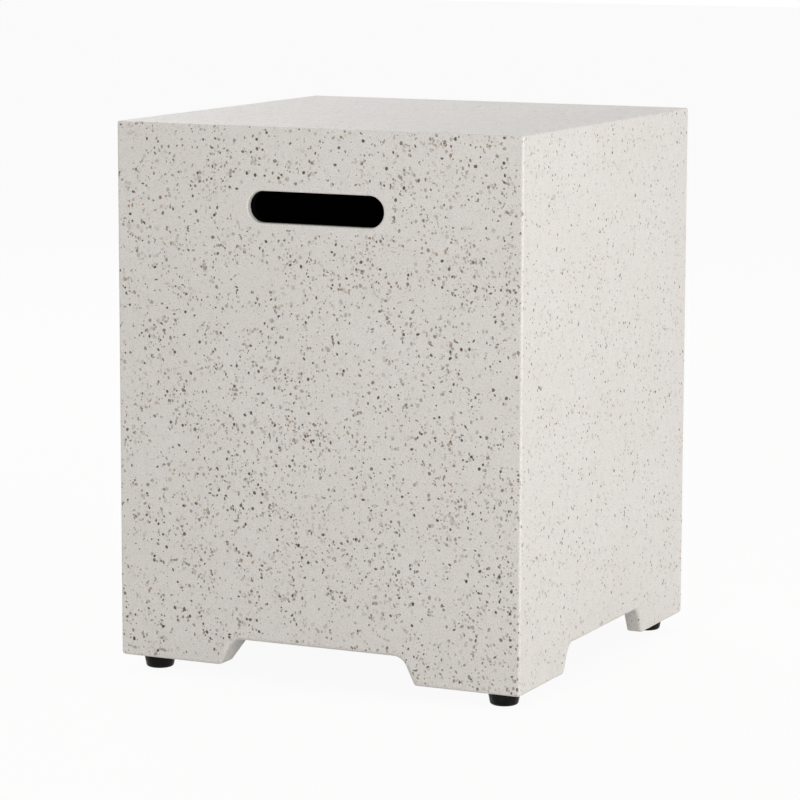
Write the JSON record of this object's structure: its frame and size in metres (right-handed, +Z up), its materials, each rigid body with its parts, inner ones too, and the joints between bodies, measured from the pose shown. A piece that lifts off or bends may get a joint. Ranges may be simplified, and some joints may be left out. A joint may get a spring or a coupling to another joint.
{
  "type": "propane tank cover table",
  "caption": "Open-bottomed cube cover in cast terrazzo that hides a gas cylinder and serves as a side table, with hand slots, notched sides and screw-in levelling feet.",
  "frame": {"origin": "on the floor, under the middle of the cover, at the level that the four pads stand on", "axes": "+Z up; the wall that faces the reference view's left, with a hand slot, is the front at -Y; +X is to the right seen from the front"},
  "size_m": [0.4, 0.4, 0.5065],
  "materials": {
    "terrazzo": "honed cast terrazzo, warm off-white with small brown, grey, tan and charcoal chips; the inside is coated matt black",
    "insert_brass": "turned and knurled brass",
    "zinc_plated_steel": "bright zinc plate on rolled thread",
    "black_pad": "satin moulded black"
  },
  "bodies": {
    "cover": {"cover_shell": "terrazzo", "threaded_insert_front_left": "insert_brass", "threaded_insert_front_right": "insert_brass", "threaded_insert_back_left": "insert_brass", "threaded_insert_back_right": "insert_brass"},
    "stud_front_left": {"levelling_stud_front_left": "zinc_plated_steel"},
    "stud_front_right": {"levelling_stud_front_right": "zinc_plated_steel"},
    "stud_back_left": {"levelling_stud_back_left": "zinc_plated_steel"},
    "stud_back_right": {"levelling_stud_back_right": "zinc_plated_steel"},
    "pad_front_left": {"foot_pad_front_left": "black_pad"},
    "pad_front_right": {"foot_pad_front_right": "black_pad"},
    "pad_back_left": {"foot_pad_back_left": "black_pad"},
    "pad_back_right": {"foot_pad_back_right": "black_pad"}
  },
  "joints": [
    {"name": "foot_travel_front_left", "type": "slide", "parent": "cover", "child": "stud_front_left", "axis": [0, 0, -1], "range_m": [-0.0015, 0.012]},
    {"name": "foot_travel_front_right", "type": "slide", "parent": "cover", "child": "stud_front_right", "axis": [0, 0, -1], "range_m": [-0.0015, 0.012]},
    {"name": "foot_travel_back_left", "type": "slide", "parent": "cover", "child": "stud_back_left", "axis": [0, 0, -1], "range_m": [-0.0015, 0.012]},
    {"name": "foot_travel_back_right", "type": "slide", "parent": "cover", "child": "stud_back_right", "axis": [0, 0, -1], "range_m": [-0.0015, 0.012]},
    {"name": "foot_turn_front_left", "type": "hinge", "parent": "stud_front_left", "child": "pad_front_left", "pos_m": [-0.174, -0.174, 0], "axis": [0, 0, -1], "range_deg": [-432, 3456]},
    {"name": "foot_turn_front_right", "type": "hinge", "parent": "stud_front_right", "child": "pad_front_right", "pos_m": [0.174, -0.174, 0], "axis": [0, 0, -1], "range_deg": [-432, 3456]},
    {"name": "foot_turn_back_left", "type": "hinge", "parent": "stud_back_left", "child": "pad_back_left", "pos_m": [-0.174, 0.174, 0], "axis": [0, 0, -1], "range_deg": [-432, 3456]},
    {"name": "foot_turn_back_right", "type": "hinge", "parent": "stud_back_right", "child": "pad_back_right", "pos_m": [0.174, 0.174, 0], "axis": [0, 0, -1], "range_deg": [-432, 3456]}
  ],
  "couplings": [
    {"joint": "foot_turn_front_left", "follows": "foot_travel_front_left", "rad_per_m": 5026.5},
    {"joint": "foot_turn_front_right", "follows": "foot_travel_front_right", "rad_per_m": 5026.5},
    {"joint": "foot_turn_back_left", "follows": "foot_travel_back_left", "rad_per_m": 5026.5},
    {"joint": "foot_turn_back_right", "follows": "foot_travel_back_right", "rad_per_m": 5026.5}
  ]
}
